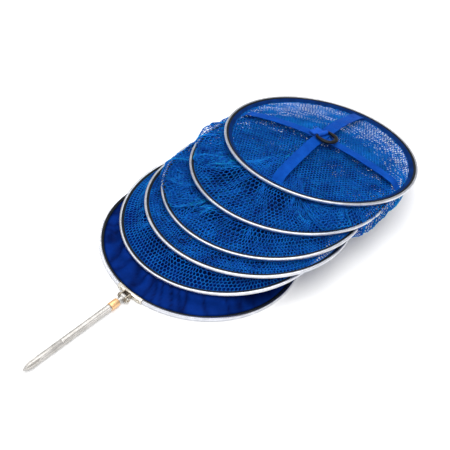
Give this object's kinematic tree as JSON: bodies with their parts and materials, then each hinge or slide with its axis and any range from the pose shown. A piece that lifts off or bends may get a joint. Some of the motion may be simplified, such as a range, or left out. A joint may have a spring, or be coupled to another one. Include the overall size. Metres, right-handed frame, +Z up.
{
  "type": "folding keepnet",
  "caption": "Collapsible tube of net on round metal hoops with a cloth mouth, a netted end with crossed straps and a pull ring, and a folding telescopic ground stake.",
  "frame": {"origin": "on the ground under the middle of the collapsed net and its stake", "axes": "+Z up from the mouth hoop that lies on the ground, -Y along the stake, +Y the way the hoops fan out"},
  "size_m": [0.4202, 0.9528, 0.1185],
  "materials": {
    "hoop_alloy": "bright drawn aluminium with a rounded outer face",
    "spline_rubber": "satin black rubber cord",
    "bracket_steel": "pressed stainless sheet, lightly brushed",
    "stake_metal": "satin drawn metal, warm grey",
    "brass": "turned brass, satin",
    "nylon": "moulded nylon",
    "cloth": "dark blue woven polyester",
    "net": "mid blue knitted net",
    "webbing": "royal blue woven strap",
    "ring_plastic": "moulded black plastic"
  },
  "bodies": {
    "mouth_frame": {"mouth_hoop": "hoop_alloy", "mouth_spline": "spline_rubber", "bracket_saddle": "bracket_steel", "saddle_rivet_left": "bracket_steel", "saddle_rivet_right": "bracket_steel", "bracket_clevis": "bracket_steel", "pivot_bolt": "bracket_steel", "pivot_nut": "bracket_steel", "pivot_washer_left": "bracket_steel", "pivot_washer_right": "bracket_steel", "cloth_skirt": "cloth"},
    "hoop_frame_2": {"hoop_2": "hoop_alloy", "spline_2": "spline_rubber", "net_wall_1": "net"},
    "hoop_frame_3": {"hoop_3": "hoop_alloy", "spline_3": "spline_rubber", "net_wall_2": "net"},
    "hoop_frame_4": {"hoop_4": "hoop_alloy", "spline_4": "spline_rubber", "net_wall_3": "net"},
    "hoop_frame_5": {"hoop_5": "hoop_alloy", "spline_5": "spline_rubber", "net_wall_4": "net"},
    "end_frame": {"hoop_6": "hoop_alloy", "spline_6": "spline_rubber", "end_hem": "cloth", "end_net": "net", "end_strap_lower": "webbing", "end_strap_upper": "webbing", "pull_tab": "webbing"},
    "ring_body": {"pull_ring": "ring_plastic"},
    "stake_arm": {"stake_rod": "stake_metal", "rod_bush": "nylon"},
    "stake_sleeve": {"stake_tube": "stake_metal", "stake_point": "stake_metal", "lock_collet": "nylon"},
    "collar_body": {"lock_collar": "brass"}
  },
  "joints": [
    {"name": "section_1_extend", "type": "slide", "parent": "mouth_frame", "child": "hoop_frame_2", "axis": [-0.016, -0.2155, 0.9764], "range_m": [0, 0.2757], "deforming": ["cloth_skirt"]},
    {"name": "section_2_extend", "type": "slide", "parent": "hoop_frame_2", "child": "hoop_frame_3", "axis": [-0.0593, -0.1662, 0.9843], "range_m": [0, 0.2919], "deforming": ["net_wall_1"]},
    {"name": "section_3_extend", "type": "slide", "parent": "hoop_frame_3", "child": "hoop_frame_4", "axis": [0.0065, -0.1566, 0.9876], "range_m": [0, 0.293], "deforming": ["net_wall_2"]},
    {"name": "section_4_extend", "type": "slide", "parent": "hoop_frame_4", "child": "hoop_frame_5", "axis": [-0.0146, -0.2467, 0.969], "range_m": [0, 0.3011], "deforming": ["net_wall_3"]},
    {"name": "section_5_extend", "type": "slide", "parent": "hoop_frame_5", "child": "end_frame", "axis": [-0.0036, -0.3212, 0.947], "range_m": [0, 0.3095], "deforming": ["net_wall_4"]},
    {"name": "stake_fold", "type": "hinge", "parent": "mouth_frame", "child": "stake_arm", "pos_m": [-0.01511, -0.2539, 0.008], "axis": [-1, 0, 0], "range_deg": [-90, 90]},
    {"name": "stake_extend", "type": "slide", "parent": "stake_arm", "child": "stake_sleeve", "axis": [0, -1, -0.0082], "range_m": [0, 0.085]},
    {"name": "collar_turn", "type": "hinge", "parent": "stake_sleeve", "child": "collar_body", "pos_m": [-0.01511, -0.2779, 0.0078], "axis": [0, -1, -0.0082], "range_deg": [0, 180]},
    {"name": "ring_swing", "type": "hinge", "parent": "end_frame", "child": "ring_body", "pos_m": [0.01035, 0.26825, 0.1121], "axis": [-0.1735, -0.9767, 0.1262], "range_deg": [0, 170]}
  ]
}
